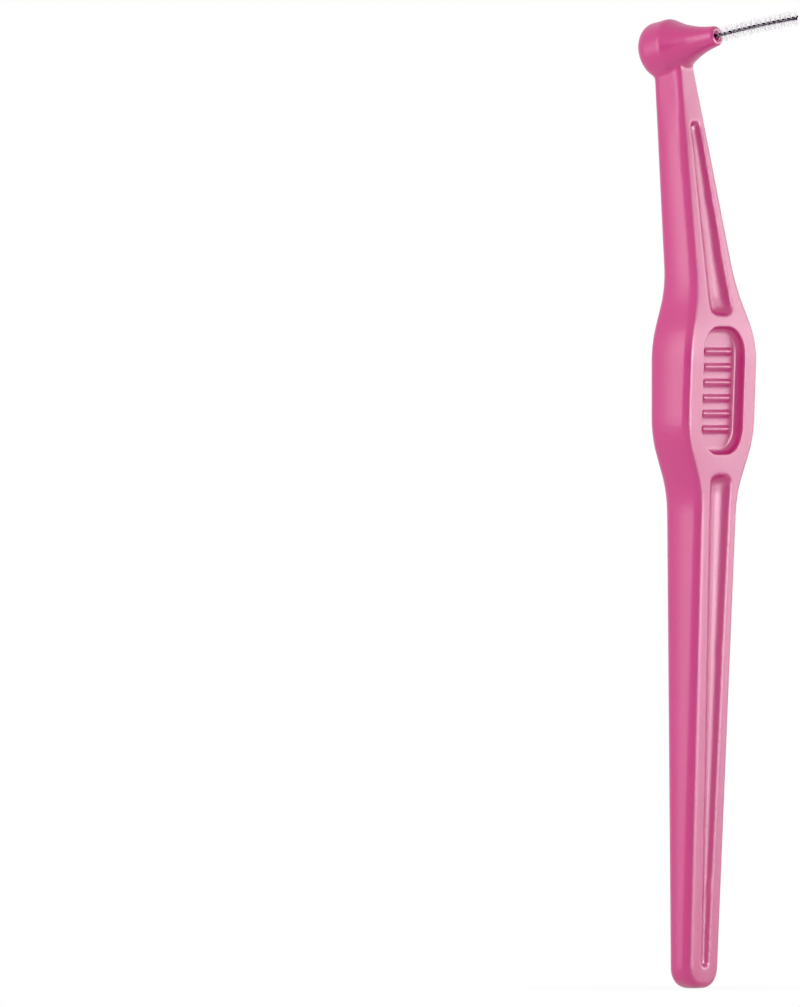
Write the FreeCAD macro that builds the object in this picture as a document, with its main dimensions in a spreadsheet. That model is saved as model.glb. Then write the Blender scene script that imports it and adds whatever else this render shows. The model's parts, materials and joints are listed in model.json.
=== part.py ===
import FreeCAD, Part
import Sketcher
import math
import os
import re

# Interdental brush: a moulded handle, and in its head a twisted wire that grips nylon filaments.
# Millimetres and degrees. +Z runs up the handle and +X is the way the nozzle points. The heights
# below are measured from the foot of the handle, and thicknesses from the flat back of the grip.
# The finished part has its origin on that back, at the middle of the grip.

DIMENSIONS = {
    # Handle seen from the side: its bends lie above the top of the straight sides of the paddle
    "foot_thickness": 4.1,
    "bend_thickness": 8.2,
    "front_bend_rise": 0.2,
    "back_bend_rise": 8,
    "neck_front_angle": 9.7,
    "neck_back_angle": 7.6,
    "bend_radius": 35,
    "grip_middle": 40,
    # Handle seen from the front: lengths follow each other from the foot to the head, and a blend is
    # how far the round of a corner reaches along each of its sides
    "foot_width": 7.8,
    "foot_corner_radius": 3.1,
    "grip_width": 9.9,
    "grip_length": 76.5,
    "grip_blend": 3,
    "paddle_rise": 8.5,
    "paddle_low_blend": 3.1,
    "paddle_width": 17.7,
    "paddle_length": 14.8,
    "paddle_high_blend": 3.1,
    "shoulder_fall": 8.7,
    "shoulder_blend": 3.8,
    "shoulder_width": 10.6,
    "neck_length": 37,
    "neck_top_width": 3.5,
    # Edges: the sides turn in towards the front by an angle, and there the flat front cuts them off
    "front_edge_radius": 1.5,
    "front_edge_turn": 50,
    "front_crease_radius": 0.4,
    "back_edge_radius": 1.5,
    "edge_width_share": 0.44,
    # Head and nozzle, measured along the axis of the wire from the rim of the head
    "head_inset": 1.72,
    "head_angle": 11.5,
    "head_back": 5.3,
    "rim_radius": 4.45,
    "rim_round_radius": 1.2,
    "cap_radius": 11,
    "cap_edge_radius": 2.2,
    "nozzle_length": 8.3,
    "nozzle_end_radius": 1.55,
    "nozzle_end_angle": 5,
    "nozzle_flare_radius": 18,
    "nozzle_lip_radius": 0.35,
    "neck_blend_radius": 0.8,
    "mouth_radius": 0.8,
    "mouth_depth": 1.1,
    # Recess for the thumb, in the middle of the paddle, with low ribs across its floor
    "recess_length": 19.6,
    "recess_width": 10.4,
    "recess_depth": 1.5,
    "recess_corner_radius": 4,
    "recess_floor_radius": 0.9,
    "rib_pitch": 2.4,
    "rib_length": 6.6,
    "rib_width": 1,
    "rib_height": 0.4,
    # Grooves in the front: the grip groove runs up from the foot, the neck groove from the bend
    "grip_groove_low": 3.4,
    "grip_groove_gap": 3.3,
    "grip_groove_wide_width": 5.4,
    "grip_groove_wide_depth": 1.2,
    "grip_groove_narrow_width": 1.7,
    "grip_groove_narrow_depth": 0.6,
    "neck_groove_low": 4.2,
    "neck_groove_gap": 11.8,
    "neck_groove_wide_width": 5.8,
    "neck_groove_wide_depth": 1.3,
    "neck_groove_narrow_width": 2.3,
    "neck_groove_narrow_depth": 0.8,
    "groove_corner_radius": 1.3,
    # Twisted wire and filaments
    "wire_radius": 0.085,
    "wire_gap": 0.06,
    "twist_pitch": 1.9,
    "wire_length": 15.6,
    "anchor_depth": 1.2,
    "anchor_lead": 0.4,
    "anchor_leg": 3.4,
    "bore_clearance": 0.02,
    "filament_breadth": 0.05,
    "brush_diameter": 2.6,
    "brush_start": 0.2,
    # How far every cut runs past the solid
    "cut_overrun": 5,
}
FILAMENTS_PER_FAN = 7
FILAMENT_SIDES = 6
WIRE_SIDES = 6

doc = FreeCAD.newDocument("interdental_brush")
sheet = doc.addObject("Spreadsheet::Sheet", "sizes")
for row, (name, value) in enumerate(DIMENSIONS.items(), start=1):
    sheet.set(f"A{row}", name)
    sheet.set(f"B{row}", str(value))
    sheet.setAlias(f"B{row}", name)
doc.recompute()


def size(formula):
    """Value of a formula written in the names of the sheet."""
    return float(sheet.evalExpression(formula))


def bind(thing, setting, formula):
    """Ties a setting to the sheet: in a formula, each word with an underscore is a name there."""
    thing.setExpression(setting, re.sub(r"\b[a-z]+_[a-z_]+\b", r"sizes.\g<0>", formula))


def draw(body, name, plane, loops, base=("0", "0"), turn="0"):
    """Sketch on an origin plane of the body, its own x axis moved to base and turned in the plane.
    A loop is a list of corners (x, y), (x, y, "round", radius) where the corner is rounded, or
    (x, y, "arc", radius) where the run to the next corner is an arc, its radius negative where it
    turns right. All sizes are formulas."""
    sketch = body.newObject("Sketcher::SketchObject", name)
    support = [plane_or_axis for plane_or_axis in body.Origin.OriginFeatures if plane_or_axis.Role == plane]
    sketch.AttachmentSupport = (support[0], "")
    sketch.MapMode = "FlatFace"
    bind(sketch, "AttachmentOffset.Base.x", base[0])
    bind(sketch, "AttachmentOffset.Base.y", base[1])
    bind(sketch, "AttachmentOffset.Rotation.Angle", turn)

    def fix(kind, *places):
        sketch.addConstraint(Sketcher.Constraint(kind, *places))

    def hold(kind, *places, formula):
        number = sketch.addConstraint(Sketcher.Constraint(kind, *places, size(formula)))
        bind(sketch, f"Constraints[{number}]", formula)

    def add_line(start, finish):
        number = sketch.addGeometry(Part.LineSegment(start, finish), False)
        return (number, 1), (number, 2)

    def add_arc(start, finish, centre, turns_left):
        first, last = (start, finish) if turns_left else (finish, start)
        angles = [math.atan2(end.y - centre.y, end.x - centre.x) for end in (first, last)]
        circle = Part.Circle(centre, FreeCAD.Vector(0, 0, 1), (start - centre).Length)
        number = sketch.addGeometry(Part.ArcOfCircle(circle, *angles), False)
        ends = ((number, 1), (number, 2))
        return ends if turns_left else ends[::-1]

    def add_round(before, corner, after, radius):
        back = (before - corner).normalize()
        ahead = (after - corner).normalize()
        half = back.getAngle(ahead) / 2
        start = corner + back * (radius / math.tan(half))
        finish = corner + ahead * (radius / math.tan(half))
        centre = corner + (back + ahead).normalize() * (radius / math.sin(half))
        return start, finish, add_arc(start, finish, centre, ahead.cross(back).z > 0)

    def add_run(start, finish, radius):
        chord = finish - start
        left = FreeCAD.Vector(-chord.y, chord.x, 0).normalize()
        rise = math.sqrt(radius**2 - (chord.Length / 2) ** 2)
        centre = (start + finish) * 0.5 + left * math.copysign(rise, radius)
        return add_arc(start, finish, centre, radius > 0)

    for corners in loops:
        points = [FreeCAD.Vector(size(corner[0]), size(corner[1]), 0) for corner in corners]
        starts = list(points)
        finishes = list(points)
        rounds = {}
        for index, (x, y, *more) in enumerate(corners):
            if "round" in more:
                after = points[(index + 1) % len(points)]
                shape = add_round(points[index - 1], points[index], after, size(more[1]))
                finishes[index], starts[index], rounds[index] = shape
        runs = []
        for index, (x, y, *more) in enumerate(corners):
            finish = finishes[(index + 1) % len(points)]
            if "arc" in more:
                runs.append(add_run(starts[index], finish, size(more[1])))
                hold("Radius", runs[-1][0][0], formula=f"abs({more[1]})")
            else:
                runs.append(add_line(starts[index], finish))
        for index, (x, y, *more) in enumerate(corners):
            arriving = runs[index - 1][1]
            corner = leaving = runs[index][0]
            if index in rounds:
                corner = (sketch.addGeometry(Part.Point(points[index]), True), 1)
                fix("Tangent", *arriving, *rounds[index][0])
                fix("Tangent", *rounds[index][1], *leaving)
                fix("PointOnObject", *corner, arriving[0])
                fix("PointOnObject", *corner, leaving[0])
                hold("Radius", rounds[index][0][0], formula=more[1])
            else:
                fix("Coincident", *arriving, *leaving)
            hold("DistanceX", *corner, formula=x)
            hold("DistanceY", *corner, formula=y)
    doc.recompute()
    return sketch


def across(body, kind, name, sketch, length=None):
    """Pad or pocket to both sides of its sketch, as far as it goes where no length is given."""
    made = body.newObject(f"PartDesign::{kind}", name)
    made.Profile = sketch
    made.Midplane = True
    if length:
        bind(made, "Length", length)
    else:
        made.Type = "ThroughAll"
    doc.recompute()
    return made


def spin(body, kind, name, sketch):
    """Revolution or groove once round the x axis of its sketch."""
    made = body.newObject(f"PartDesign::{kind}", name)
    made.Profile = sketch
    made.ReferenceAxis = (sketch, ["H_Axis"])
    doc.recompute()
    return made


def soften(body, name, radius, wanted):
    """Fillet on the edges of the body that the function wanted picks, given each edge and its middle."""
    base = body.Tip
    picked = []
    for number, edge in enumerate(base.Shape.Edges, start=1):
        middle = edge.valueAt(edge.getParameterByLength(edge.Length / 2))
        if wanted(middle, edge):
            picked.append(f"Edge{number}")
    made = body.newObject("PartDesign::Fillet", name)
    made.Base = (base, picked)
    bind(made, "Radius", radius)
    doc.recompute()
    return made


# Heights above the foot, and where the front and the back of the neck reach the middle of the head
PADDLE_LOW = "(grip_length + paddle_rise)"
PADDLE_HIGH = f"({PADDLE_LOW} + paddle_length)"
SHOULDER = f"({PADDLE_HIGH} + shoulder_fall)"
HEAD_HEIGHT = f"({SHOULDER} + neck_length)"
FRONT_BEND = f"({PADDLE_HIGH} + front_bend_rise)"
BACK_BEND = f"({PADDLE_HIGH} + back_bend_rise)"
NECK_FRONT = f"(bend_thickness - ({HEAD_HEIGHT} - {FRONT_BEND}) * tan(neck_front_angle))"
NECK_BACK = f"(-({HEAD_HEIGHT} - {BACK_BEND}) * tan(neck_back_angle))"
CLOSE_SHARE = 1e-4


def near(first, second):
    """True where two lengths agree, to a small share of the length of the handle."""
    return abs(first - second) < CLOSE_SHARE * size(HEAD_HEIGHT)


# Handle: the side profile, with a layer more at the front, is padded across the width and trimmed to
# the front outline. When its edges are round, the front is cut back to its own line.
FRONT_LAYER = "(front_edge_radius * (1 - sin(front_edge_turn)))"
handle = doc.addObject("PartDesign::Body", "handle")
side_profile = draw(handle, "side_profile", "XZ_Plane", [[
    ("0", "0"),
    (f"foot_thickness + {FRONT_LAYER}", "0"),
    (f"bend_thickness + {FRONT_LAYER}", FRONT_BEND, "round", "bend_radius"),
    (f"{NECK_FRONT} + {FRONT_LAYER}", HEAD_HEIGHT),
    (NECK_BACK, HEAD_HEIGHT),
    ("0", BACK_BEND, "round", "bend_radius"),
]])
across(handle, "Pad", "blank", side_profile, "paddle_width + cut_overrun")
GRIP_SLOPE = "atan((grip_width - foot_width) / 2 / grip_length)"
PADDLE_SLOPE = "atan((paddle_width - grip_width) / 2 / paddle_rise)"
SHOULDER_SLOPE = "atan((paddle_width - shoulder_width) / 2 / shoulder_fall)"
NECK_SLOPE = "atan((shoulder_width - neck_top_width) / 2 / neck_length)"
right_side = [
    ("foot_width / 2", "0", "round", "foot_corner_radius"),
    ("grip_width / 2", "grip_length", "round", f"grip_blend / tan(({PADDLE_SLOPE} - {GRIP_SLOPE}) / 2)"),
    ("paddle_width / 2", PADDLE_LOW, "round", f"paddle_low_blend / tan({PADDLE_SLOPE} / 2)"),
    ("paddle_width / 2", PADDLE_HIGH, "round", f"paddle_high_blend / tan({SHOULDER_SLOPE} / 2)"),
    ("shoulder_width / 2", SHOULDER, "round", f"shoulder_blend / tan(({SHOULDER_SLOPE} - {NECK_SLOPE}) / 2)"),
    ("neck_top_width / 2", HEAD_HEIGHT),
]
left_side = [(f"-{half_width}", *rest) for half_width, *rest in reversed(right_side)]
surround = [
    ("-paddle_width / 2 - cut_overrun", "-cut_overrun"),
    ("paddle_width / 2 + cut_overrun", "-cut_overrun"),
    ("paddle_width / 2 + cut_overrun", f"{HEAD_HEIGHT} + cut_overrun"),
    ("-paddle_width / 2 - cut_overrun", f"{HEAD_HEIGHT} + cut_overrun"),
]
front_outline = draw(handle, "front_outline", "YZ_Plane", [surround, right_side + left_side])
across(handle, "Pocket", "outline_trim", front_outline)


def rim_edges(shape, sign):
    """Edges where the front (sign 1) or the back (sign -1) of the handle meets its sides and foot."""
    def faces_that_way(face):
        u_low, u_high, v_low, v_high = face.ParameterRange
        normal = face.normalAt((u_low + u_high) / 2, (v_low + v_high) / 2)
        return normal.x * sign > math.cos(math.radians(45))

    broad = [face for face in shape.Faces if faces_that_way(face)]
    beside = [edge for face in shape.Faces if not faces_that_way(face) for edge in face.Edges]
    return [edge for face in broad for edge in face.Edges if any(edge.isSame(other) for other in beside)]


def soften_rim(name, sign, radius):
    """Fillet round the front or the back of the handle, but not at its end inside the head."""
    rim = rim_edges(handle.Tip.Shape, sign)
    soften(handle, name, radius, lambda middle, edge: (
        not near(middle.z, size(HEAD_HEIGHT)) and any(edge.isSame(side) for side in rim)))


soften_rim("front_edge", 1, "min(front_edge_radius; neck_top_width * edge_width_share)")
soften_rim("back_edge", -1, "min(back_edge_radius; neck_top_width * edge_width_share)")
front_line = draw(handle, "front_line", "XZ_Plane", [[
    ("foot_thickness", "0"),
    ("bend_thickness + cut_overrun", "0"),
    ("bend_thickness + cut_overrun", HEAD_HEIGHT),
    (NECK_FRONT, HEAD_HEIGHT),
    ("bend_thickness", FRONT_BEND, "round", "bend_radius"),
]])
across(handle, "Pocket", "front_cut", front_line)
soften_rim("front_crease", 1, "front_crease_radius")

# Head and nozzle: one form turned about the axis that the wire lies on. Its rear cap, cap edge, rim
# and flare are arcs that run smoothly into each other, so their meeting points follow from the radii.
HEAD_BASE = (f"{NECK_FRONT} - head_inset", HEAD_HEIGHT)
CAP_CENTRE = "(cap_radius - head_back)"
CAP_REACH = "sqrt((cap_radius - cap_edge_radius)^2 - (rim_radius - cap_edge_radius)^2)"
CAP_RATIO = "cap_radius / (cap_radius - cap_edge_radius)"
FLARE_ALONG = "(nozzle_length + nozzle_flare_radius * sin(nozzle_end_angle))"
FLARE_OUT = "(nozzle_end_radius + nozzle_flare_radius * cos(nozzle_end_angle))"
RIM_DROP = f"({FLARE_OUT} - rim_radius + rim_round_radius)"
RIM_REACH = f"sqrt((nozzle_flare_radius + rim_round_radius)^2 - {RIM_DROP}^2)"
RIM_RATIO = "nozzle_flare_radius / (nozzle_flare_radius + rim_round_radius)"
head_profile = draw(handle, "head_profile", "XZ_Plane", [[
    ("-head_back", "0"),
    ("nozzle_length", "0"),
    ("nozzle_length", "nozzle_end_radius", "arc", "-nozzle_flare_radius"),
    (f"{FLARE_ALONG} - {RIM_REACH} * {RIM_RATIO}", f"{FLARE_OUT} - {RIM_DROP} * {RIM_RATIO}",
     "arc", "rim_round_radius"),
    (f"{FLARE_ALONG} - {RIM_REACH}", "rim_radius"),
    (f"{CAP_CENTRE} - {CAP_REACH}", "rim_radius", "arc", "cap_edge_radius"),
    (f"{CAP_CENTRE} - {CAP_REACH} * {CAP_RATIO}", f"(rim_radius - cap_edge_radius) * {CAP_RATIO}",
     "arc", "cap_radius"),
]], HEAD_BASE, "head_angle")
neck_skin = Part.Compound(handle.Tip.Shape.Faces)
head = spin(handle, "Revolution", "head", head_profile)
head_form = head.AddSubShape.copy()
head_form.Placement = head.Placement.multiply(head_form.Placement)
head_skin = Part.Compound(head_form.Faces)
head_centre = FreeCAD.Vector(size(HEAD_BASE[0]), 0, size(HEAD_BASE[1]))
head_axis = FreeCAD.Vector(size("cos(head_angle)"), 0, size("sin(head_angle)"))


def where_neck_meets_head(middle, edge):
    point = Part.Vertex(middle)
    return all(near(point.distToShape(skin)[0], 0) for skin in (neck_skin, head_skin))


def round_nozzle_end(middle, edge):
    along = head_axis.dot(middle - head_centre)
    away = (middle - head_centre - head_axis * along).Length
    return near(along, size("nozzle_length")) and near(away, size("nozzle_end_radius"))


soften(handle, "neck_blend", "neck_blend_radius", where_neck_meets_head)
soften(handle, "nozzle_lip", "nozzle_lip_radius", round_nozzle_end)

# Mouth of the nozzle, tapering to the bore that is moulded round the folded end of the wire
TWIST_RADIUS = "(2 * wire_radius + wire_gap / 2)"
BORE_RADIUS = f"({TWIST_RADIUS} + bore_clearance)"
BORE_END = f"(nozzle_length - anchor_depth - anchor_lead - anchor_leg - {BORE_RADIUS})"
bore_profile = draw(handle, "bore_profile", "XZ_Plane", [[
    ("nozzle_length + cut_overrun", "0"),
    ("nozzle_length + cut_overrun", "mouth_radius"),
    ("nozzle_length", "mouth_radius"),
    ("nozzle_length - mouth_depth", BORE_RADIUS),
    (BORE_END, BORE_RADIUS),
    (BORE_END, "0"),
]], HEAD_BASE, "head_angle")
spin(handle, "Groove", "bore", bore_profile)

# Recess for the thumb: its floor follows the slope of the front, and low ribs cross it
FRONT_ANGLE = f"atan((bend_thickness - foot_thickness) / {FRONT_BEND})"
FRONT_FOOT = ("foot_thickness", "0")
RECESS_LOW = f"(({PADDLE_LOW} + {PADDLE_HIGH} - recess_length) / 2)"
RECESS_HIGH = f"({RECESS_LOW} + recess_length)"
recess_profile = draw(handle, "recess_profile", "XZ_Plane", [[
    (RECESS_LOW, "-cut_overrun"),
    (RECESS_HIGH, "-cut_overrun"),
    (RECESS_HIGH, "recess_depth"),
    (RECESS_LOW, "recess_depth"),
]], FRONT_FOOT, f"90 deg - {FRONT_ANGLE}")
across(handle, "Pocket", "recess", recess_profile, "recess_width")
front_foot = FreeCAD.Vector(size("foot_thickness"), 0, 0)
up_the_front = FreeCAD.Vector(size(f"sin({FRONT_ANGLE})"), 0, size(f"cos({FRONT_ANGLE})"))
into_the_front = FreeCAD.Vector(-up_the_front.z, 0, up_the_front.x)


def in_recess_corner(middle, edge):
    along = up_the_front.dot(middle - front_foot)
    at_an_end = near(along, size(RECESS_LOW)) or near(along, size(RECESS_HIGH))
    return at_an_end and near(abs(middle.y), size("recess_width / 2"))


def round_recess_floor(middle, edge):
    return near(into_the_front.dot(middle - front_foot), size("recess_depth"))


soften(handle, "recess_corners", "recess_corner_radius", in_recess_corner)
soften(handle, "recess_floor", "recess_floor_radius", round_recess_floor)
rib_count = math.floor(size("(recess_length - recess_corner_radius) / rib_pitch"))
RIB_SPAN = f"({rib_count - 1} * rib_pitch)"
FIRST_RIB = f"({RECESS_LOW} + recess_length / 2 - {RIB_SPAN} / 2)"
RIB_ROUND = "((rib_width^2 / 4 + rib_height^2) / (2 * rib_height))"
rib_profile = draw(handle, "rib_profile", "XZ_Plane", [[
    (f"{FIRST_RIB} - rib_width / 2", "recess_depth", "arc", RIB_ROUND),
    (f"{FIRST_RIB} + rib_width / 2", "recess_depth"),
    (f"{FIRST_RIB} + rib_width / 2", "recess_depth + rib_height"),
    (f"{FIRST_RIB} - rib_width / 2", "recess_depth + rib_height"),
]], FRONT_FOOT, f"90 deg - {FRONT_ANGLE}")
rib = across(handle, "Pad", "rib", rib_profile, "rib_length")
ribs = handle.newObject("PartDesign::LinearPattern", "ribs")
ribs.Originals = [rib]
ribs.Direction = (rib_profile, ["H_Axis"])
bind(ribs, "Length", RIB_SPAN)
ribs.Occurrences = rib_count
handle.Tip = ribs
doc.recompute()


def scoop(name, base, turn, low, high, low_end, high_end, low_round, high_round):
    """Tapered groove along the front: a cone whose axis stands off the face by its radius less the
    depth, so that each end has the width and depth that the sheet gives."""
    radii = [f"(({end}_width^2 / 4 + {end}_depth^2) / (2 * {end}_depth))" for end in (low_end, high_end)]
    low_lift, high_lift = [f"({radius} - {end}_depth)" for radius, end in zip(radii, (low_end, high_end))]
    tilt = f"atan(({high_lift} - {low_lift}) / ({high} - {low}))"
    span = f"(({high} - {low}) / cos({tilt}))"
    start = (f"{base[0]} + {low} * sin({turn}) + {low_lift} * cos({turn})",
             f"{base[1]} + {low} * cos({turn}) - {low_lift} * sin({turn})")
    sketch = draw(handle, f"{name}_profile", "XZ_Plane", [[
        ("0", "0"),
        (span, "0"),
        (span, radii[1], "round", high_round),
        ("0", radii[0], "round", low_round),
    ]], start, f"90 deg - {turn} - {tilt}")
    before = handle.Tip.Shape.Volume
    spin(handle, "Groove", name, sketch)
    if handle.Tip.Shape.Volume >= before:
        raise RuntimeError(f"{name} cuts nothing")


scoop("grip_groove", FRONT_FOOT, FRONT_ANGLE, "grip_groove_low", f"({RECESS_LOW} - grip_groove_gap)",
      "grip_groove_narrow", "grip_groove_wide", "grip_groove_narrow_width / 4", "groove_corner_radius")
NECK_REACH = f"(({HEAD_HEIGHT} - {FRONT_BEND}) / cos(neck_front_angle))"
scoop("neck_groove", ("bend_thickness", FRONT_BEND), "-(neck_front_angle * 1 deg)",
      "neck_groove_low", f"({NECK_REACH} - neck_groove_gap)",
      "neck_groove_wide", "neck_groove_narrow", "groove_corner_radius", "neck_groove_narrow_width / 4")
bind(handle, "Placement.Base.z", "-grip_middle")
handle.Label = "handle"

# Core wire: one wire folded in the bore, its two legs twisted together and cut off at the tip.
# Wire and filaments share a frame whose x runs along the wire from the end of the nozzle.
nozzle_end = head_centre + head_axis * size("nozzle_length") - FreeCAD.Vector(0, 0, size("grip_middle"))
tilt_up = FreeCAD.Rotation(FreeCAD.Vector(0, 1, 0), size("-head_angle"))
brush_frame = FreeCAD.Placement(nozzle_end, tilt_up)
LEG_OFFSET = "(wire_radius + wire_gap / 2)"


def twist_angle(along):
    """Turn of the twisted pair, in radians, at a place along the wire."""
    return 2 * math.pi * along / size("twist_pitch")


def leg_place(along, side):
    """Middle of one leg of the wire, side 1 or -1, and the way it runs towards the tip."""
    offset = side * size(LEG_OFFSET)
    turn = twist_angle(along)
    rate = twist_angle(1)
    place = FreeCAD.Vector(along, offset * math.cos(turn), offset * math.sin(turn))
    way = FreeCAD.Vector(1, -offset * rate * math.sin(turn), offset * rate * math.cos(turn))
    return place, way.normalize()


def biarc(start, start_way, finish, finish_way):
    """Two arcs that leave the start and reach the finish in the given ways and meet smoothly."""
    gap = finish - start
    ways = start_way + finish_way
    spread = 4 - ways.dot(ways)
    lean = gap.dot(ways)
    reach = (math.sqrt(lean**2 + gap.dot(gap) * spread) - lean) / spread
    corners = (start + start_way * reach, finish - finish_way * reach)
    meeting = (corners[0] + corners[1]) * 0.5
    arcs = []
    for first, corner, last in ((start, corners[0], meeting), (meeting, corners[1], finish)):
        middle = (first + last) * 0.5
        half = (corner - first).getAngle(last - first)
        crown = middle + (corner - middle) * (math.tan(half / 2) / math.tan(half))
        arcs.append(Part.Arc(first, crown, last).toShape())
    return arcs


def leg(side):
    """One leg from the fold to the tip: it leaves the fold straight, then twists by quarter turns."""
    quarters = math.ceil(4 * size("(wire_length + anchor_depth) / twist_pitch"))
    step = size("wire_length + anchor_depth") / quarters
    along = -size("anchor_depth")
    place, way = leg_place(along, side)
    lead = place - FreeCAD.Vector(size("anchor_lead"), 0, 0)
    fold = lead - FreeCAD.Vector(size("anchor_leg"), 0, 0)
    edges = [Part.LineSegment(fold, lead).toShape()]
    edges += biarc(lead, FreeCAD.Vector(1, 0, 0), place, way)
    for number in range(quarters):
        along += step
        next_place, next_way = leg_place(along, side)
        edges += biarc(place, way, next_place, next_way)
        place, way = next_place, next_way
    return fold, edges, place, way


first_fold, first_edges, first_tip, first_way = leg(1)
second_fold, second_edges, second_tip, second_way = leg(-1)
bend_crown = (first_fold + second_fold) * 0.5 - FreeCAD.Vector(size(LEG_OFFSET), 0, 0)
bend = Part.Arc(first_fold, bend_crown, second_fold).toShape()
wire_path = Part.Wire(Part.__sortEdges__(first_edges + [bend] + second_edges))
to_first_way = FreeCAD.Rotation(FreeCAD.Vector(0, 0, 1), first_way)
rim_points = []
for number in range(WIRE_SIDES + 1):
    turn = FreeCAD.Rotation(FreeCAD.Vector(0, 0, 1), 360 * number / WIRE_SIDES)
    spoke = turn.multVec(FreeCAD.Vector(size("wire_radius"), 0, 0))
    rim_points.append(first_tip + to_first_way.multVec(spoke))
wire_section = Part.makePolygon(rim_points)
core_wire = doc.addObject("Part::Feature", "core_wire")
core_wire.Shape = wire_path.makePipeShell([wire_section], True, False)
core_wire.Placement = brush_frame
core_wire.Label = "core_wire"
section_times_length = Part.Face(wire_section).Area * wire_path.Length
print(f"wire: volume {core_wire.Shape.Volume:.5f}, section times length {section_times_length:.5f}")

# Filaments: each lies across the wire in the gap between its legs, so that every half turn of the
# twist spreads its filaments into a fan
FILAMENT_RADIUS = f"filament_breadth / (2 * cos(180 / {FILAMENT_SIDES}))"
fan_count = math.floor(size("(wire_length - brush_start) / (twist_pitch / 2)"))
fans = []
for fan_number in range(fan_count):
    filaments = []
    for number in range(FILAMENTS_PER_FAN):
        half_turns = fan_number + (number + 0.5) / FILAMENTS_PER_FAN
        along = size("brush_start") + half_turns * size("twist_pitch") / 2
        turn = FreeCAD.Rotation(FreeCAD.Vector(1, 0, 0), math.degrees(twist_angle(along)))
        start = turn.multVec(FreeCAD.Vector(along, 0, -size("brush_diameter") / 2))
        filament = doc.addObject("Part::Prism", "filament")
        filament.Polygon = FILAMENT_SIDES
        bind(filament, "Circumradius", FILAMENT_RADIUS)
        bind(filament, "Height", "brush_diameter")
        filament.Placement = brush_frame.multiply(FreeCAD.Placement(start, turn))
        filaments.append(filament)
    fan = doc.addObject("Part::Compound", f"filament_fan_{fan_number + 1:02d}")
    fan.Links = filaments
    fan.Label = fan.Name
    fans.append(fan)
doc.recompute()

# Every object has to be sound before a piece is written
for thing in doc.Objects:
    if {"Invalid", "Error"} & set(thing.State):
        raise RuntimeError(f"{thing.Name} failed: {thing.State}")
pieces = [handle, core_wire, *fans]
for piece in pieces:
    if piece.Shape.isNull() or not piece.Shape.isValid():
        raise RuntimeError(f"{piece.Label} has no sound shape")
os.makedirs("parts", exist_ok=True)
for piece in pieces:
    piece.Shape.exportStep(f"parts/{piece.Label}.step")
    print(f"{piece.Label}: solids {len(piece.Shape.Solids)}, volume {piece.Shape.Volume:.4f}")
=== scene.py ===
import json
import math

import bmesh
import bpy
import numpy as np
from mathutils import Euler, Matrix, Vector


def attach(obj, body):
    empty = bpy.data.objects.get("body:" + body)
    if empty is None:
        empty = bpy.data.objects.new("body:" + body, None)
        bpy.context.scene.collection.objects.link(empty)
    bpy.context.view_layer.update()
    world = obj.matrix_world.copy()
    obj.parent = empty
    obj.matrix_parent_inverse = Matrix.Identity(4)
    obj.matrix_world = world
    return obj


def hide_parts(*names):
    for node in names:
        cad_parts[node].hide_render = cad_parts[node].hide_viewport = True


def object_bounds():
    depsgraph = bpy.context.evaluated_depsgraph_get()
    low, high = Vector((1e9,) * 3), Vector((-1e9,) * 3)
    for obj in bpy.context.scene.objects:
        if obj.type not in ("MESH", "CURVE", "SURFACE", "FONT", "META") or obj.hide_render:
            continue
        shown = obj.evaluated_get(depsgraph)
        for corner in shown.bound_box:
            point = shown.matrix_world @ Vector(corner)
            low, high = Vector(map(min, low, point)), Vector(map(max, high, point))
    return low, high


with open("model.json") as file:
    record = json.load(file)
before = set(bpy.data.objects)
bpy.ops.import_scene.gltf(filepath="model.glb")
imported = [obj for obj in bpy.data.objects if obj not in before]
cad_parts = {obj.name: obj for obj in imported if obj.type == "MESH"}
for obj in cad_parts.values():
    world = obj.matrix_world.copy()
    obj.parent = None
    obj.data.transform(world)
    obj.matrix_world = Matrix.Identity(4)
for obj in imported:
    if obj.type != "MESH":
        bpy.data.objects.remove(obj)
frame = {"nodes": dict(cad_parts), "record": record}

cad_low, cad_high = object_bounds()

# Handle: one piece of polypropylene, injection moulded in solid pink, with a groove in the grip, a
# ribbed thumb recess in the paddle, a second groove in the neck, and a nozzle moulded round the end of
# the wire. Its walls swell a little between their edges, and the edges run out soft.
MM = 0.001
SAME_POINT = 0.0005 * MM
SKIN_GRID = 0.16 * MM
SKIN_GRID_TURN = Euler((0.5, 0.35, 0.6)).to_matrix().to_4x4()
FACES_KEPT = 0.32
SMOOTHING = 0.5
EDGE_ROUNDS = 10
CREASE_ROUNDS = 30
CREASE_SOFTNESS = {30 * MM: 1, 42 * MM: 0, 63 * MM: 0, 69 * MM: 1, 92 * MM: 1, 97 * MM: 0}
SOFTNESS_STEPS = 8
SIDE_CROWN = 0.45 * MM
FRONT_CROWN = 0.25 * MM
HEAD_LOW = 98 * MM
HEAD_BLEND = 8 * MM
SLICE_HEIGHT = 0.5 * MM
SLICES_AVERAGED = 9
GRIP_GROOVE = {"low": -36.6 * MM, "high": 39.3 * MM, "low_half": 0.85 * MM, "high_half": 2.7 * MM}
NECK_GROOVE = {"low": 64.0 * MM, "high": 93.7 * MM, "low_half": 2.9 * MM, "high_half": 1.15 * MM}
GROOVE_RIM = 0.4 * MM
GROOVE_DIP_SHARE = 0.08
PINK_DEEP = "#C81E79"
PINK = "#CF2883"
FLOW_MARK_LENGTH = 14 * MM
MOULD_GRAIN = 0.35 * MM
MOULD_GRAIN_DEPTH = 0.03 * MM
MOULD_GRAIN_STRENGTH = 0.4
SKIN_ROUGHNESS_LOW = 0.27
SKIN_ROUGHNESS_HIGH = 0.39


def linear(hex_colour):
    """Linear RGBA of an sRGB hex colour."""
    channels = [int(hex_colour[place:place + 2], 16) / 255 for place in (1, 3, 5)]
    return [c / 12.92 if c <= 0.04045 else ((c + 0.055) / 1.055) ** 2.4 for c in channels] + [1]


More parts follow.
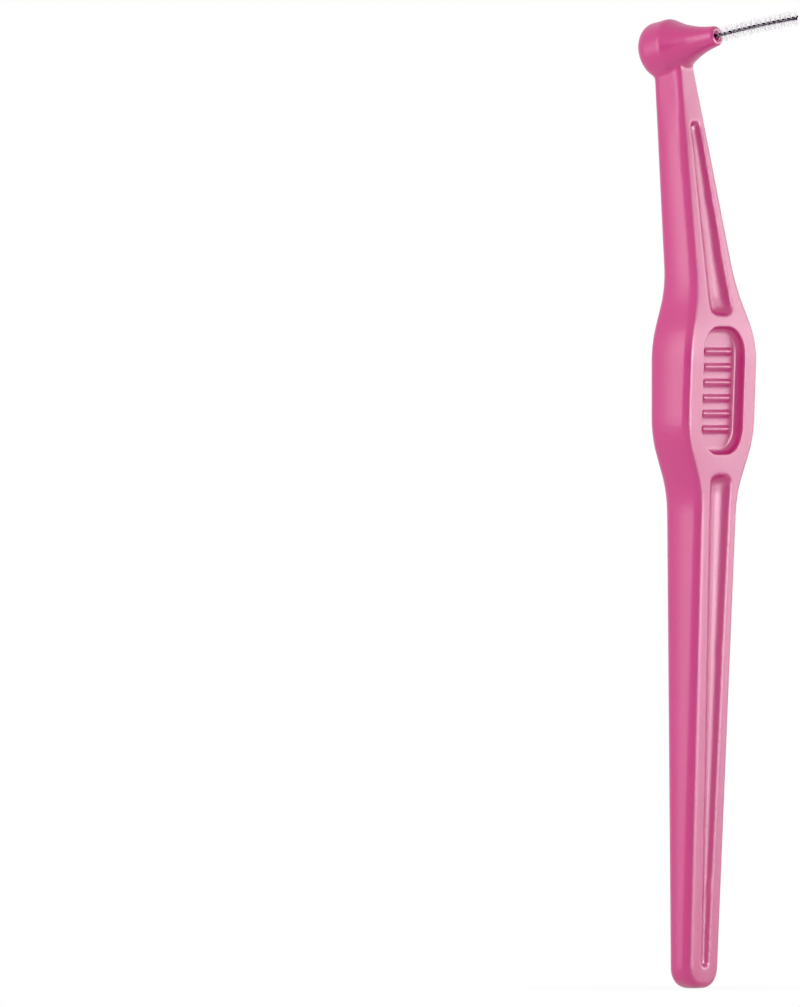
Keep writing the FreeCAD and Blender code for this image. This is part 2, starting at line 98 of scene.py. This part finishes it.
def add(tree, kind, inputs=None, **settings):
    """Adds a node with its settings, and sets or links its inputs by name or number."""
    node = tree.nodes.new(kind)
    for name, value in settings.items():
        setattr(node, name, value)
    for name, value in (inputs or {}).items():
        if isinstance(value, bpy.types.NodeSocket):
            tree.links.new(value, node.inputs[name])
        else:
            node.inputs[name].default_value = value
    return node


def new_material(name):
    """Empty node material, its tree and its output node."""
    material = bpy.data.materials.new(name)
    material.use_nodes = True
    material.node_tree.nodes.clear()
    return material, material.node_tree, add(material.node_tree, "ShaderNodeOutputMaterial")


def polypropylene():
    """Moulded polypropylene in solid pink."""
    # The satin skin gives the eye soft broad highlights, a little light comes through at the edges, and
    # the flow of the melt leaves faint clouds in the colour. The mould's own grain is some 0.05 mm, too
    # fine to show, so it is drawn at 0.35 mm.
    material, tree, output = new_material("polypropylene_moulded_pink")
    place = add(tree, "ShaderNodeTexCoord").outputs["Object"]
    flow = add(tree, "ShaderNodeTexNoise", {"Vector": place, "Scale": 1 / FLOW_MARK_LENGTH, "Detail": 2})
    colour = add(tree, "ShaderNodeMix", {
        "Factor": flow.outputs["Fac"], "A": linear(PINK_DEEP), "B": linear(PINK)}, data_type="RGBA")
    grain = add(tree, "ShaderNodeTexNoise", {"Vector": place, "Scale": 1 / MOULD_GRAIN, "Detail": 1})
    roughness = add(tree, "ShaderNodeMapRange", {
        "Value": grain.outputs["Fac"], "To Min": SKIN_ROUGHNESS_LOW, "To Max": SKIN_ROUGHNESS_HIGH})
    bump = add(tree, "ShaderNodeBump", {
        "Height": grain.outputs["Fac"], "Strength": MOULD_GRAIN_STRENGTH, "Distance": MOULD_GRAIN_DEPTH})
    skin = add(tree, "ShaderNodeBsdfPrincipled", {
        "Base Color": colour.outputs["Result"],
        "Roughness": roughness.outputs["Result"],
        "IOR": 1.49,
        "Specular IOR Level": 1.0,
        "Subsurface Weight": 0.12,
        "Subsurface Radius": (1.0, 0.25, 0.4),
        "Subsurface Scale": 1.2 * MM,
        "Normal": bump.outputs["Normal"],
    })
    tree.links.new(skin.outputs["BSDF"], output.inputs["Surface"])
    return material


def new_object(name, content):
    """Object in the scene with the given mesh, lamp or camera."""
    thing = bpy.data.objects.new(name, content)
    bpy.context.scene.collection.objects.link(thing)
    return thing


def plain_mesh(name, source, material):
    """Object with the mesh that a source object has after its modifiers. The source is removed."""
    evaluated = source.evaluated_get(bpy.context.evaluated_depsgraph_get())
    mesh = bpy.data.meshes.new_from_object(evaluated)
    mesh.name = name
    mesh.materials.clear()
    mesh.materials.append(material)
    mesh.polygons.foreach_set("use_smooth", [True] * len(mesh.polygons))
    bpy.data.objects.remove(source)
    return new_object(name, mesh)


def ramp(values, start, end):
    """Share that runs from 0 at start to 1 at end."""
    return np.clip((values - start) / (end - start), 0, 1)


def outline_at(places):
    """Front, back and half width of the handle at the height of each point, evened out along it."""
    low = places[:, 2].min()
    slices = ((places[:, 2] - low) / SLICE_HEIGHT).astype(int)
    front = np.full(slices.max() + 1, -1.0)
    back = np.full(slices.max() + 1, 1.0)
    half_width = np.zeros(slices.max() + 1)
    np.maximum.at(front, slices, places[:, 0])
    np.minimum.at(back, slices, places[:, 0])
    np.maximum.at(half_width, slices, places[:, 1])
    middles = low + (np.arange(len(front)) + 0.5) * SLICE_HEIGHT
    equal_shares = np.full(SLICES_AVERAGED, 1 / SLICES_AVERAGED)
    evened = []
    for line in (front, back, half_width):
        padded = np.pad(line, SLICES_AVERAGED // 2, mode="edge")
        evened.append(np.interp(places[:, 2], middles, np.convolve(padded, equal_shares, mode="valid")))
    return evened


def groove_dip(places, groove):
    """How far a groove's floor is scooped out under each point, most of all along its middle."""
    height_share = ramp(places[:, 2], groove["low"], groove["high"])
    half_width = groove["low_half"] + (groove["high_half"] - groove["low_half"]) * height_share
    to_end = np.minimum(places[:, 2] - groove["low"], groove["high"] - places[:, 2])
    inside = np.clip(1 - (places[:, 1] / half_width) ** 2, 0, 1) * np.clip(to_end / half_width, 0, 1)
    return GROOVE_DIP_SHARE * half_width * inside


def crown_walls(mesh):
    """Swells the flat sides and front between their edges, and scoops out the grooves."""
    places = np.empty(len(mesh.vertices) * 3)
    normals = np.empty(len(mesh.vertices) * 3)
    mesh.vertices.foreach_get("co", places)
    mesh.vertices.foreach_get("normal", normals)
    places = places.reshape(-1, 3)
    normals = normals.reshape(-1, 3)
    front, back, half_width = outline_at(places)
    depth_share = ramp(places[:, 0], back, front)
    width_share = np.clip(places[:, 1] / half_width, -1, 1)
    below_head = ramp(places[:, 2], HEAD_LOW, HEAD_LOW - HEAD_BLEND)
    below_rim = ramp(places[:, 0], front, front - GROOVE_RIM)
    facing_front = np.clip(normals[:, 0], 0, 1)
    facing_side = normals[:, 1] * np.abs(normals[:, 1])
    dip = groove_dip(places, GRIP_GROOVE) + groove_dip(places, NECK_GROOVE)
    places[:, 0] -= dip * below_rim * facing_front
    places[:, 0] += FRONT_CROWN * (1 - width_share ** 2) * depth_share * below_head
    places[:, 1] += SIDE_CROWN * (1 - (2 * depth_share - 1) ** 2) * below_head * facing_side
    mesh.vertices.foreach_set("co", places.ravel())
    mesh.update()


def smooth(piece, name, rounds, group=""):
    """Adds smoothing to a piece, all over or in a group of its points."""
    modifier = piece.modifiers.new(name, "SMOOTH")
    modifier.factor = SMOOTHING
    modifier.iterations = rounds
    modifier.vertex_group = group


# The skin's grid is turned out of line with the handle, because edges along the grid come out wavy.
blank_mesh = bpy.data.meshes.new("handle_blank")
loose_faces = bmesh.new()
loose_faces.from_mesh(frame["nodes"]["handle"].data)
bmesh.ops.remove_doubles(loose_faces, verts=loose_faces.verts, dist=SAME_POINT)
loose_faces.to_mesh(blank_mesh)
loose_faces.free()
blank_mesh.transform(SKIN_GRID_TURN)
handle_blank = new_object("handle_blank", blank_mesh)
even_skin = handle_blank.modifiers.new("even_skin", "REMESH")
even_skin.mode = "VOXEL"
even_skin.voxel_size = SKIN_GRID
even_skin.use_smooth_shade = True
smooth(handle_blank, "soft_edges", EDGE_ROUNDS)
crowned = plain_mesh("crowned_handle", handle_blank, polypropylene())
crowned.data.transform(SKIN_GRID_TURN.inverted())
crown_walls(crowned.data)

# The creases of the grip and the neck are softer than those round the thumb recess and the head.
heights = [vertex.co.z for vertex in crowned.data.vertices]
softness = np.interp(heights, list(CREASE_SOFTNESS), list(CREASE_SOFTNESS.values()))
softness_steps = np.round(softness * SOFTNESS_STEPS).astype(int)
soft_zone = crowned.vertex_groups.new(name="soft_zone")
for step in range(1, SOFTNESS_STEPS + 1):
    soft_zone.add(np.nonzero(softness_steps == step)[0].tolist(), step / SOFTNESS_STEPS, "REPLACE")
smooth(crowned, "soft_creases", CREASE_ROUNDS, "soft_zone")
fewer_faces = crowned.modifiers.new("fewer_faces", "DECIMATE")
fewer_faces.ratio = FACES_KEPT
handle = plain_mesh("moulded_handle", crowned, crowned.data.materials[0])
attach(handle, "root")
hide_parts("handle")

# Core wire: one drawn stainless wire, folded in two, with its fold held in the head. The two legs are
# twisted round each other, droop a little towards the tip, and spring apart where they are cut off.
HEAD_ANGLE = math.radians(11.5)
WIRE_RADIUS = 0.135 * MM
WIRE_GAP = 0.06 * MM
WIRE_START = -1.2 * MM
WIRE_LENGTH = 15.6 * MM
WIRE_RINGS = 320
WIRE_SIDES = 12
TWIST_PITCH = 1.9 * MM
TIP_SPRING = 0.1 * MM
TIP_SPRING_LENGTH = 0.9 * MM
TIP_DROOP = 0.55 * MM
# The two steel colours are a painted reflection: dark violet grey in place of the dark and pink things the
# wire mirrors.
STEEL_PAINTED_REFLECTION = "#36243B"
STEEL_EDGE_PAINTED_REFLECTION = "#4E3956"
STEEL_ROUGHNESS_LOW = 0.35
STEEL_ROUGHNESS_HIGH = 0.5
DRAW_LINES = 0.05 * MM
nozzle_mouth = next(mount["pos_m"] for mount in frame["record"]["mounts"] if mount["name"] == "cap_seat")


def stainless():
    """Drawn stainless steel, with a painted dark violet reflection in its colours."""
    # Its base and edge colours are painted dark violet grey. This is a painted reflection of the dark and
    # pink things round so thin a wire, and gives the eye a dark line with dull glints. Its draw lines are
    # thousandths of a millimetre apart, and are drawn at 0.05 mm to show.
    material, tree, output = new_material("stainless_steel_drawn_painted_reflection")
    place = add(tree, "ShaderNodeTexCoord").outputs["Object"]
    lines = add(tree, "ShaderNodeTexNoise", {"Vector": place, "Scale": 1 / DRAW_LINES, "Detail": 1})
    roughness = add(tree, "ShaderNodeMapRange", {
        "Value": lines.outputs["Fac"], "To Min": STEEL_ROUGHNESS_LOW, "To Max": STEEL_ROUGHNESS_HIGH})
    steel = add(tree, "ShaderNodeBsdfPrincipled", {
        "Base Color": linear(STEEL_PAINTED_REFLECTION),
        "Specular Tint": linear(STEEL_EDGE_PAINTED_REFLECTION),
        "Metallic": 1,
        "Roughness": roughness.outputs["Result"],
    })
    tree.links.new(steel.outputs["BSDF"], output.inputs["Surface"])
    return material


def new_tree(name, sizes):
    """Geometry node tree with a named input for each size, its input node and its output node."""
    tree = bpy.data.node_groups.new(name, "GeometryNodeTree")
    tree.interface.new_socket("Geometry", in_out="OUTPUT", socket_type="NodeSocketGeometry")
    identifiers = {}
    for size_name, value in sizes.items():
        kind = {int: "NodeSocketInt", float: "NodeSocketFloat"}.get(type(value), "NodeSocketMaterial")
        socket = tree.interface.new_socket(size_name, in_out="INPUT", socket_type=kind)
        identifiers[size_name] = socket.identifier
    return tree, identifiers, add(tree, "NodeGroupInput").outputs, add(tree, "NodeGroupOutput")


def made_by(name, tree, identifiers, sizes):
    """Plain mesh object that a geometry node tree makes from the given sizes."""
    carrier = new_object(name + "_carrier", bpy.data.meshes.new(name + "_carrier"))
    modifier = carrier.modifiers.new(name, "NODES")
    modifier.node_group = tree
    for size_name, value in sizes.items():
        modifier[identifiers[size_name]] = value
    return plain_mesh(name, carrier, sizes["Material"])


def twist_at(tree, along, given):
    """Socket with the angle of the twist at a place along the wire."""
    turns = add(tree, "ShaderNodeMath", {0: along, 1: given["Pitch"]}, operation="DIVIDE")
    angle = add(tree, "ShaderNodeMath", {0: turns.outputs[0], 1: 2 * math.pi}, operation="MULTIPLY")
    return angle.outputs[0]


def droop_at(tree, along, given):
    """Socket with how far the wire droops at a place along it."""
    reach = add(tree, "ShaderNodeMath", {0: along, 1: given["Wire length"]}, operation="DIVIDE")
    bend = add(tree, "ShaderNodeMath", {0: reach.outputs[0], 1: 2}, operation="POWER")
    droop = add(tree, "ShaderNodeMath", {0: bend.outputs[0], 1: given["Droop"]}, operation="MULTIPLY")
    return droop.outputs[0]


def end_at_nozzle(tree, geometry, given, output):
    """Ends a tree: its geometry goes to the mouth of the nozzle and gets its material."""
    placed = add(tree, "GeometryNodeTransform", {
        "Geometry": geometry, "Translation": nozzle_mouth, "Rotation": (0, -HEAD_ANGLE, 0)})
    real = add(tree, "GeometryNodeRealizeInstances", {"Geometry": placed.outputs["Geometry"]})
    dressed = add(tree, "GeometryNodeSetMaterial", {
        "Geometry": real.outputs["Geometry"], "Material": given["Material"]})
    tree.links.new(dressed.outputs["Geometry"], output.inputs["Geometry"])


def twisted_pair(sizes):
    """Tree that winds the two legs of the wire round each other."""
    tree, identifiers, given, output = new_tree("twisted_pair", sizes)
    line = add(tree, "GeometryNodeCurvePrimitiveLine")
    fine = add(tree, "GeometryNodeResampleCurve", {"Curve": line.outputs["Curve"], "Count": given["Rings"]})
    share = add(tree, "GeometryNodeSplineParameter").outputs["Factor"]
    along = add(tree, "ShaderNodeMapRange", {
        "Value": share, "To Min": given["Start"], "To Max": given["Wire length"]}).outputs["Result"]
    turn = twist_at(tree, along, given)
    droop = droop_at(tree, along, given)
    spring_start = add(tree, "ShaderNodeMath", {
        0: given["Wire length"], 1: given["Spring length"]}, operation="SUBTRACT")
    spread = add(tree, "ShaderNodeMapRange", {
        "Value": along, "From Min": spring_start.outputs[0], "From Max": given["Wire length"],
        "To Min": given["Leg offset"], "To Max": given["Tip offset"]}, interpolation_type="SMOOTHSTEP")
    legs = add(tree, "GeometryNodeJoinGeometry")
    for phase in (0, math.pi):
        angle = add(tree, "ShaderNodeMath", {0: turn, 1: phase}, operation="ADD").outputs[0]
        across = []
        for wave in ("COSINE", "SINE"):
            swing = add(tree, "ShaderNodeMath", {0: angle}, operation=wave)
            offset = add(tree, "ShaderNodeMath", {
                0: swing.outputs[0], 1: spread.outputs["Result"]}, operation="MULTIPLY")
            across.append(offset.outputs[0])
        height = add(tree, "ShaderNodeMath", {0: across[1], 1: droop}, operation="SUBTRACT")
        where = add(tree, "ShaderNodeCombineXYZ", {"X": along, "Y": across[0], "Z": height.outputs[0]})
        leg = add(tree, "GeometryNodeSetPosition", {
            "Geometry": fine.outputs["Curve"], "Position": where.outputs[0]})
        tree.links.new(leg.outputs["Geometry"], legs.inputs["Geometry"])
    section = add(tree, "GeometryNodeCurvePrimitiveCircle", {
        "Resolution": given["Sides"], "Radius": given["Wire radius"]})
    tube = add(tree, "GeometryNodeCurveToMesh", {
        "Curve": legs.outputs["Geometry"], "Profile Curve": section.outputs["Curve"], "Fill Caps": True})
    end_at_nozzle(tree, tube.outputs["Mesh"], given, output)
    return tree, identifiers


wire_sizes = {
    "Start": WIRE_START,
    "Wire length": WIRE_LENGTH,
    "Wire radius": WIRE_RADIUS,
    "Pitch": TWIST_PITCH,
    "Leg offset": WIRE_RADIUS + WIRE_GAP / 2,
    "Tip offset": WIRE_RADIUS + WIRE_GAP / 2 + TIP_SPRING,
    "Spring length": TIP_SPRING_LENGTH,
    "Droop": TIP_DROOP,
    "Rings": WIRE_RINGS,
    "Sides": WIRE_SIDES,
    "Material": stainless(),
}
wire = made_by("twisted_wire", *twisted_pair(wire_sizes), wire_sizes)
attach(wire, "root")
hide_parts("core_wire")

# Filaments: fine nylon bristles laid across the wire and gripped between its legs, so that the twist
# fans them out into a screw of bristles. Each one is bent a little, and no two stand quite alike.
FILAMENT_COUNT = 230
FILAMENT_RADIUS = 0.02 * MM
FILAMENT_SIDES = 5
FILAMENT_RINGS = 9
FILAMENT_BEND = 0.1 * MM
FILAMENT_LEAN = math.radians(14)
FILAMENT_SEED = 7
SHORTEST_FILAMENT = 0.86
BRUSH_RADIUS = 1.3 * MM
BRUSH_START = 0.25 * MM
BRUSH_END = 15.35 * MM
NYLON_CLOUDED = "#E6DCE8"
NYLON_CLEAR = "#F6F2F7"
NYLON_CLOUD = 0.6 * MM


def nylon():
    """Drawn nylon filament."""
    # It is clear and smooth, and so fine that it gives the eye no more than a pale line. The colour
    # clouds over a little from place to place.
    material, tree, output = new_material("nylon_filament_clear")
    place = add(tree, "ShaderNodeTexCoord").outputs["Object"]
    cloud = add(tree, "ShaderNodeTexNoise", {"Vector": place, "Scale": 1 / NYLON_CLOUD, "Detail": 1})
    colour = add(tree, "ShaderNodeMix", {
        "Factor": cloud.outputs["Fac"],
        "A": linear(NYLON_CLOUDED), "B": linear(NYLON_CLEAR)}, data_type="RGBA")
    clear = add(tree, "ShaderNodeBsdfPrincipled", {
        "Base Color": colour.outputs["Result"],
        "Roughness": 0.3,
        "IOR": 1.53,
        "Transmission Weight": 0.1,
    })
    tree.links.new(clear.outputs["BSDF"], output.inputs["Surface"])
    return material


def bristle_screw(sizes):
    """Tree that lays bent filaments across the wire, each turned as the twist is where it lies."""
    tree, identifiers, given, output = new_tree("bristle_screw", sizes)
    low = add(tree, "ShaderNodeCombineXYZ", {"X": given["Start"]})
    high = add(tree, "ShaderNodeCombineXYZ", {"X": given["End"]})
    row = add(tree, "GeometryNodeMeshLine", {
        "Count": given["Count"],
        "Start Location": low.outputs[0], "Offset": high.outputs[0]}, mode="END_POINTS")
    place = add(tree, "GeometryNodeInputPosition")
    along = add(tree, "ShaderNodeSeparateXYZ", {0: place.outputs[0]}).outputs["X"]
    twist = add(tree, "FunctionNodeAxisAngleToRotation", {
        "Axis": (1, 0, 0), "Angle": twist_at(tree, along, given)})
    backwards = add(tree, "ShaderNodeMath", {0: given["Lean"], 1: -1}, operation="MULTIPLY")
    leans = []
    for offset in (0, 1, 2):
        seed = add(tree, "ShaderNodeMath", {0: given["Seed"], 1: offset}, operation="ADD")
        lean = add(tree, "FunctionNodeRandomValue", {
            "Min": backwards.outputs[0], "Max": given["Lean"], "Seed": seed.outputs[0]}, data_type="FLOAT")
        leans.append(next(socket for socket in lean.outputs if socket.enabled))
    tilt = add(tree, "ShaderNodeCombineXYZ", {"X": leans[0], "Y": leans[1], "Z": leans[2]})
    tipped = add(tree, "FunctionNodeEulerToRotation", {"Euler": tilt.outputs[0]})
    stand = add(tree, "FunctionNodeRotateRotation", {
        "Rotation": twist.outputs[0], "Rotate By": tipped.outputs[0]}, rotation_space="LOCAL")
    foot = add(tree, "ShaderNodeMath", {0: given["Brush radius"], 1: -1}, operation="MULTIPLY")
    line_start = add(tree, "ShaderNodeCombineXYZ", {"Z": foot.outputs[0]})
    line_end = add(tree, "ShaderNodeCombineXYZ", {"Z": given["Brush radius"]})
    line = add(tree, "GeometryNodeCurvePrimitiveLine", {
        "Start": line_start.outputs[0], "End": line_end.outputs[0]})
    fine = add(tree, "GeometryNodeResampleCurve", {"Curve": line.outputs["Curve"], "Count": given["Rings"]})
    share = add(tree, "GeometryNodeSplineParameter").outputs["Factor"]
    reach = add(tree, "ShaderNodeMapRange", {"Value": share, "To Min": -1.0, "To Max": 1.0})
    curve = add(tree, "ShaderNodeMath", {0: reach.outputs["Result"], 1: 2}, operation="POWER")
    sideways = add(tree, "ShaderNodeMath", {0: curve.outputs[0], 1: given["Bend"]}, operation="MULTIPLY")
    bow = add(tree, "ShaderNodeCombineXYZ", {"X": sideways.outputs[0]})
    bent = add(tree, "GeometryNodeSetPosition", {
        "Geometry": fine.outputs["Curve"], "Offset": bow.outputs[0]})
    section = add(tree, "GeometryNodeCurvePrimitiveCircle", {
        "Resolution": given["Sides"], "Radius": given["Filament radius"]})
    filament = add(tree, "GeometryNodeCurveToMesh", {
        "Curve": bent.outputs["Geometry"], "Profile Curve": section.outputs["Curve"], "Fill Caps": True})
    stretch = add(tree, "FunctionNodeRandomValue", {"Seed": given["Seed"]}, data_type="FLOAT")
    length = add(tree, "ShaderNodeMapRange", {
        "Value": next(socket for socket in stretch.outputs if socket.enabled),
        "To Min": given["Shortest"], "To Max": 1.0})
    scale = add(tree, "ShaderNodeCombineXYZ", {"X": 1, "Y": 1, "Z": length.outputs["Result"]})
    down = add(tree, "ShaderNodeMath", {0: droop_at(tree, along, given), 1: -1}, operation="MULTIPLY")
    below = add(tree, "ShaderNodeCombineXYZ", {"Z": down.outputs[0]})
    seats = add(tree, "GeometryNodeSetPosition", {
        "Geometry": row.outputs["Mesh"], "Offset": below.outputs[0]})
    spread = add(tree, "GeometryNodeInstanceOnPoints", {
        "Points": seats.outputs["Geometry"], "Instance": filament.outputs["Mesh"],
        "Rotation": stand.outputs[0], "Scale": scale.outputs[0]})
    end_at_nozzle(tree, spread.outputs["Instances"], given, output)
    return tree, identifiers


filament_sizes = {
    "Count": FILAMENT_COUNT,
    "Start": BRUSH_START,
    "End": BRUSH_END,
    "Brush radius": BRUSH_RADIUS,
    "Wire length": WIRE_LENGTH,
    "Pitch": TWIST_PITCH,
    "Droop": TIP_DROOP,
    "Filament radius": FILAMENT_RADIUS,
    "Bend": FILAMENT_BEND,
    "Lean": FILAMENT_LEAN,
    "Shortest": SHORTEST_FILAMENT,
    "Rings": FILAMENT_RINGS,
    "Sides": FILAMENT_SIDES,
    "Seed": FILAMENT_SEED,
    "Material": nylon(),
}
filaments = made_by("filaments", *bristle_screw(filament_sizes), filament_sizes)
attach(filaments, "root")
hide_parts(*[name for name in frame["nodes"] if name.startswith("filament_fan")])

# Studio: the brush stands on white paper that runs out into a white surround, between soft boxes, with
# a dark cloth at the camera, which shows as a dark band along the handle. The camera is level and far
# off, with a long lens.
PICTURE_WIDTH = 800
PICTURE_HEIGHT = 1007
PIXELS_PER_METRE = 6470
AXIS_COLUMN = 682.2
MIDDLE_HEIGHT = 34.9 * MM
VIEW_AZIMUTH = math.radians(37)
LENS = 1000
SENSOR = 36
FAR_CLIP = 100
FLOOR_REACH = 6
SHADOW_NEAR = 10 * MM
SHADOW_FAR = 35 * MM
SHADOW_WHITE_SHARE = 0.92
CLOTH_DISTANCE = 1.7
CLOTH_TOP = 0.6
CLOTH_ANGLES = (-38, 42)
SURROUND_LIGHT = 0.44
PAPER = "#F4F3F4"
CLOTH = "#2A2A2A"
WHITE = "#FFFFFF"


def heading(angle):
    """Level direction from the object, at an angle to the right of the camera."""
    turned = VIEW_AZIMUTH + math.radians(angle)
    return Vector((math.sin(turned), -math.cos(turned), 0))


lens_depth = LENS / SENSOR * PICTURE_HEIGHT / PIXELS_PER_METRE
off_axis = math.atan((AXIS_COLUMN - PICTURE_WIDTH / 2) / PIXELS_PER_METRE / lens_depth)
middle = Vector((0, 0, MIDDLE_HEIGHT))
camera = new_object("camera", bpy.data.cameras.new("camera"))
camera.data.lens = LENS
camera.data.sensor_width = SENSOR
camera.data.clip_end = FAR_CLIP
camera.location = middle + heading(0) * (lens_depth / math.cos(off_axis))
camera.rotation_euler = (math.pi / 2, 0, VIEW_AZIMUTH + off_axis)
bpy.context.scene.camera = camera


def soft_box(name, angle, distance, width, height, power, rise, mirrored=True, shines=True):
    """Rectangular lamp that faces the middle of the object, at an angle to the right of the camera."""
    lamp = bpy.data.lights.new(name, "AREA")
    lamp.shape = "RECTANGLE"
    lamp.size = width
    lamp.size_y = height
    lamp.energy = power
    box = new_object(name, lamp)
    box.location = middle + heading(angle) * distance + Vector((0, 0, rise))
    box.rotation_euler = (middle - box.location).to_track_quat("-Z", "Y").to_euler()
    box.visible_glossy = mirrored
    box.visible_diffuse = shines


# The strip box only shows mirrored, as the highlights on creases and grooves. The top box and the fills
# only add even light, and nothing mirrors them.
soft_box("left_soft_box", angle=-55, distance=0.8, width=0.5, height=0.9, power=3.25, rise=0.05)
soft_box("right_soft_box", angle=113, distance=0.8, width=0.36, height=0.45, power=2.0, rise=0.06)
soft_box("right_strip_box", angle=72, distance=0.8, width=0.6, height=0.4, power=7.6, rise=0.02,
         shines=False)
soft_box("top_soft_box", angle=20, distance=0.5, width=0.8, height=0.8, power=1.6, rise=1.0,
         mirrored=False)
soft_box("front_fill", angle=-8, distance=1.4, width=0.9, height=0.9, power=4.2, rise=0.2,
         mirrored=False)
soft_box("back_fill", angle=190, distance=1.4, width=0.9, height=0.9, power=4.5, rise=0.3,
         mirrored=False)


def seen_directly(tree):
    """Socket that is 1 where a surface is seen straight, mirrored or through something clear."""
    path = add(tree, "ShaderNodeLightPath").outputs
    seen = path["Is Camera Ray"]
    for ray in ("Is Glossy Ray", "Is Transmission Ray"):
        seen = add(tree, "ShaderNodeMath", {0: seen, 1: path[ray]}, operation="MAXIMUM").outputs[0]
    return seen


def floor_paper():
    """White paper that keeps the shadow round the foot and runs out into the white surround."""
    material, tree, output = new_material("floor_paper_white")
    place = add(tree, "ShaderNodeTexCoord").outputs["Object"]
    level = add(tree, "ShaderNodeVectorMath", {0: place, 1: (1, 1, 0)}, operation="MULTIPLY")
    away = add(tree, "ShaderNodeVectorMath", {0: level.outputs["Vector"]}, operation="LENGTH")
    white_share = add(tree, "ShaderNodeMapRange", {
        "Value": away.outputs["Value"], "From Min": SHADOW_NEAR, "From Max": SHADOW_FAR,
        "To Min": SHADOW_WHITE_SHARE, "To Max": 1.0}, interpolation_type="SMOOTHSTEP")
    amount = add(tree, "ShaderNodeMath", {
        0: seen_directly(tree), 1: white_share.outputs["Result"]}, operation="MULTIPLY")
    paper = add(tree, "ShaderNodeBsdfDiffuse", {"Color": linear(PAPER)})
    white = add(tree, "ShaderNodeEmission", {"Strength": 1})
    mixed = add(tree, "ShaderNodeMixShader", {
        0: amount.outputs[0], 1: paper.outputs["BSDF"], 2: white.outputs["Emission"]})
    tree.links.new(mixed.outputs["Shader"], output.inputs["Surface"])
    return material


def dark_cloth():
    """Black cloth that only shows where something mirrors it."""
    material, tree, output = new_material("studio_cloth_black")
    path = add(tree, "ShaderNodeLightPath").outputs
    cloth = add(tree, "ShaderNodeBsdfDiffuse", {"Color": linear(CLOTH)})
    clear = add(tree, "ShaderNodeBsdfTransparent")
    mixed = add(tree, "ShaderNodeMixShader", {
        0: path["Is Glossy Ray"], 1: clear.outputs["BSDF"], 2: cloth.outputs["BSDF"]})
    tree.links.new(mixed.outputs["Shader"], output.inputs["Surface"])
    return material


def flat_board(name, corners, material):
    """Four-cornered board that isn't part of the object."""
    mesh = bpy.data.meshes.new(name)
    mesh.from_pydata(corners, [], [(0, 1, 2, 3)])
    mesh.materials.append(material)
    board = new_object(name, mesh)


floor_level = cad_low.z
flat_board("floor", [
    (-FLOOR_REACH, -FLOOR_REACH, floor_level), (FLOOR_REACH, -FLOOR_REACH, floor_level),
    (FLOOR_REACH, FLOOR_REACH, floor_level), (-FLOOR_REACH, FLOOR_REACH, floor_level),
], floor_paper())
cloth_left, cloth_right = [
    middle + heading(angle) * (CLOTH_DISTANCE / math.cos(math.radians(angle))) for angle in CLOTH_ANGLES]
flat_board("dark_cloth", [
    (cloth_left.x, cloth_left.y, floor_level), (cloth_right.x, cloth_right.y, floor_level),
    (cloth_right.x, cloth_right.y, CLOTH_TOP), (cloth_left.x, cloth_left.y, CLOTH_TOP),
], dark_cloth())

world = bpy.data.worlds.new("studio")
bpy.context.scene.world = world
world.use_nodes = True
surround = world.node_tree
surround.nodes.clear()
strength = add(surround, "ShaderNodeMapRange", {
    "Value": seen_directly(surround), "To Min": SURROUND_LIGHT, "To Max": 1.0})
sky = add(surround, "ShaderNodeBackground", {
    "Color": linear(WHITE), "Strength": strength.outputs["Result"]})
add(surround, "ShaderNodeOutputWorld", {"Surface": sky.outputs["Background"]})

bpy.context.scene.view_settings.view_transform = "Standard"
